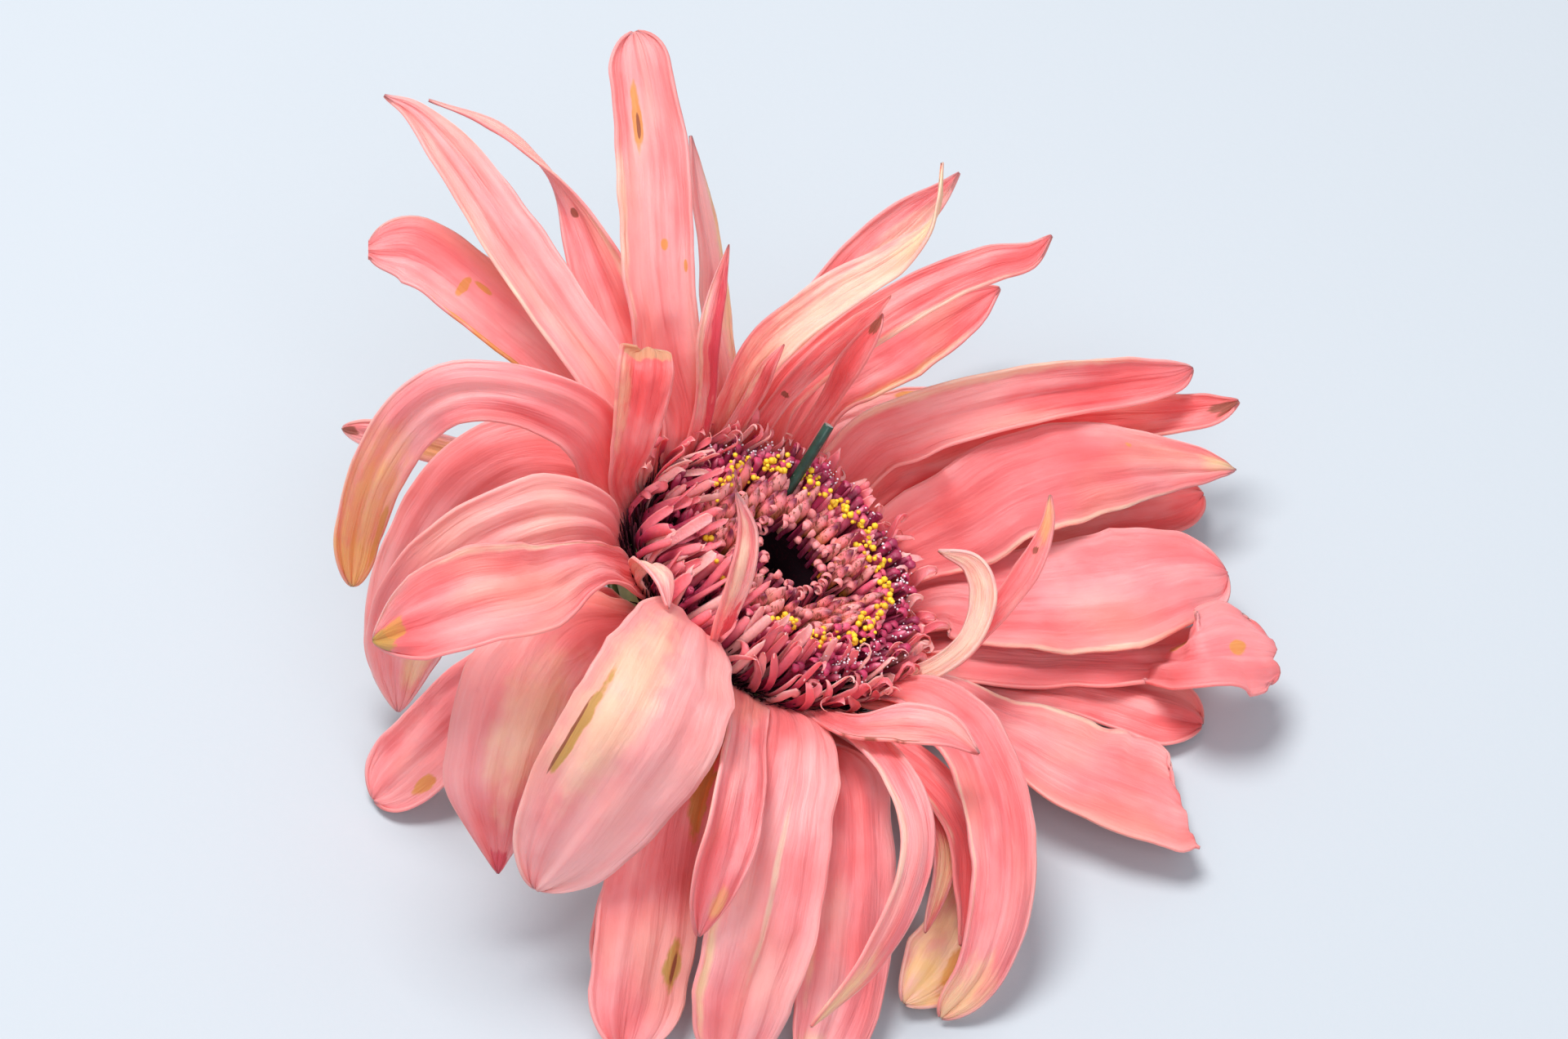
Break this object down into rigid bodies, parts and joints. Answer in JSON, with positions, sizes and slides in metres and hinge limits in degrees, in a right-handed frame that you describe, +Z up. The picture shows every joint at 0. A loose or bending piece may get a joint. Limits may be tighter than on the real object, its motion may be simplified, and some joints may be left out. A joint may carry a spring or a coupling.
{
  "type": "withered gerbera flower head",
  "caption": "Withered gerbera head lying on a surface: curled and drooped coral ray petals round a raised disc of tubular florets, on a short cut stem with a stub wire.",
  "frame": {"origin": "middle of the small flat facet where the edge of the cut stem rests on the table", "axes": "+Z up from the table, +X the way the head leans (its disc faces up and toward +X), +Y the back of the picture"},
  "size_m": [0.0978, 0.1009, 0.0583],
  "materials": {
    "petal_pink": "withered coral-pink ray petal, matt with fine veins",
    "petal_coral": "deeper coral ray petal, matt",
    "petal_pale": "cream to peach petal back or curl, matt",
    "petal_dark": "darkened coral petal with a brown tip, matt",
    "disc_centre": "inner florets, pink lips and brown-striped buds",
    "disc_pollen": "florets with yellow pollen",
    "disc_dark": "dark maroon florets with pale violet tips",
    "disc_flank": "long pink strap florets of the flank",
    "stem": "green cut stem and receptacle",
    "involucre": "dull green bracts",
    "wire": "dark green lacquered florist's wire"
  },
  "bodies": {
    "root": {"arch_1": "petal_pink", "arch_2": "petal_coral", "arch_3": "petal_pale", "arch_4": "petal_coral", "arch_5": "petal_pale", "back_1": "petal_pink", "back_2": "petal_pink", "back_3": "petal_pink", "back_4": "petal_pink", "back_5": "petal_pale", "disc_centre": "disc_centre", "disc_dark": "disc_dark", "disc_flank": "disc_flank", "disc_pollen": "disc_pollen", "far_1": "petal_coral", "far_2": "petal_coral", "far_3": "petal_coral", "far_4": "petal_coral", "front_1": "petal_pink", "front_2": "petal_pink", "front_3": "petal_pink", "front_4": "petal_pink", "front_5": "petal_pink", "inner_1": "petal_coral", "inner_10": "petal_pink", "inner_2": "petal_pale", "inner_3": "petal_pale", "inner_4": "petal_coral", "inner_5": "petal_coral", "inner_6": "petal_coral", "inner_7": "petal_coral", "inner_8": "petal_pale", "inner_9": "petal_coral", "involucre": "involucre", "left_1": "petal_pink", "left_2": "petal_pink", "left_3": "petal_pink", "left_4": "petal_pale", "low_1": "petal_pale", "near_1": "petal_pink", "near_2": "petal_pink", "near_3": "petal_pink", "near_4": "petal_dark", "right_1": "petal_coral", "right_2": "petal_coral", "right_3": "petal_pink", "right_4": "petal_coral", "right_5": "petal_pink", "right_6": "petal_pink", "right_7": "petal_coral", "right_8": "petal_pink", "stem_and_receptacle": "stem", "stub_wire": "wire"}
  },
  "joints": []
}
